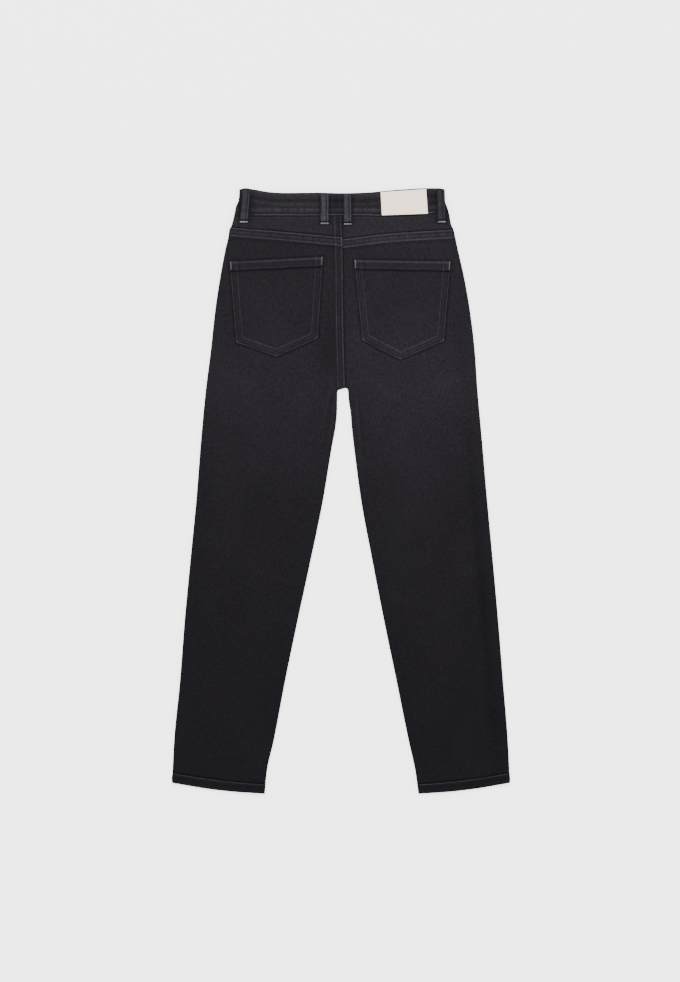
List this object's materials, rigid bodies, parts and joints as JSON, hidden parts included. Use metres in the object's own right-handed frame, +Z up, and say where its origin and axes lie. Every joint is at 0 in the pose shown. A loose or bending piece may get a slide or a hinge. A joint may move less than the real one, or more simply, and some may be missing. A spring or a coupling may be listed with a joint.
{
  "type": "slim jeans",
  "caption": "Slim black denim jeans laid flat with the back side up, with yoke, patch pockets, belt loops and a waist patch.",
  "frame": {"origin": "on the floor, below the middle of the garment's bounding box", "axes": "+X to the right seen from above (the wearer's right), +Y from the hems to the waist, +Z up out of the floor; the garment's back faces +Z"},
  "size_m": [0.5482, 0.9807, 0.0148],
  "materials": {
    "black_denim": "matte twill, washed",
    "loop_denim": "matte twill, worn",
    "patch": "matte, pale",
    "button": "darkened metal"
  },
  "bodies": {
    "root": {"waistband": "black_denim", "yoke_left": "black_denim", "yoke_right": "black_denim", "back_panel_left": "black_denim", "back_panel_right": "black_denim", "front_panel_left": "black_denim", "front_panel_right": "black_denim", "pocket_facing_left": "black_denim", "pocket_facing_right": "black_denim", "hem_left": "black_denim", "hem_right": "black_denim", "back_pocket_left": "black_denim", "back_pocket_right": "black_denim", "loop_side_left": "loop_denim", "loop_center_left": "loop_denim", "loop_center_right": "loop_denim", "loop_side_right": "loop_denim", "loop_front_left": "loop_denim", "loop_front_right": "loop_denim", "waist_patch": "patch", "waist_button": "button"}
  },
  "joints": []
}
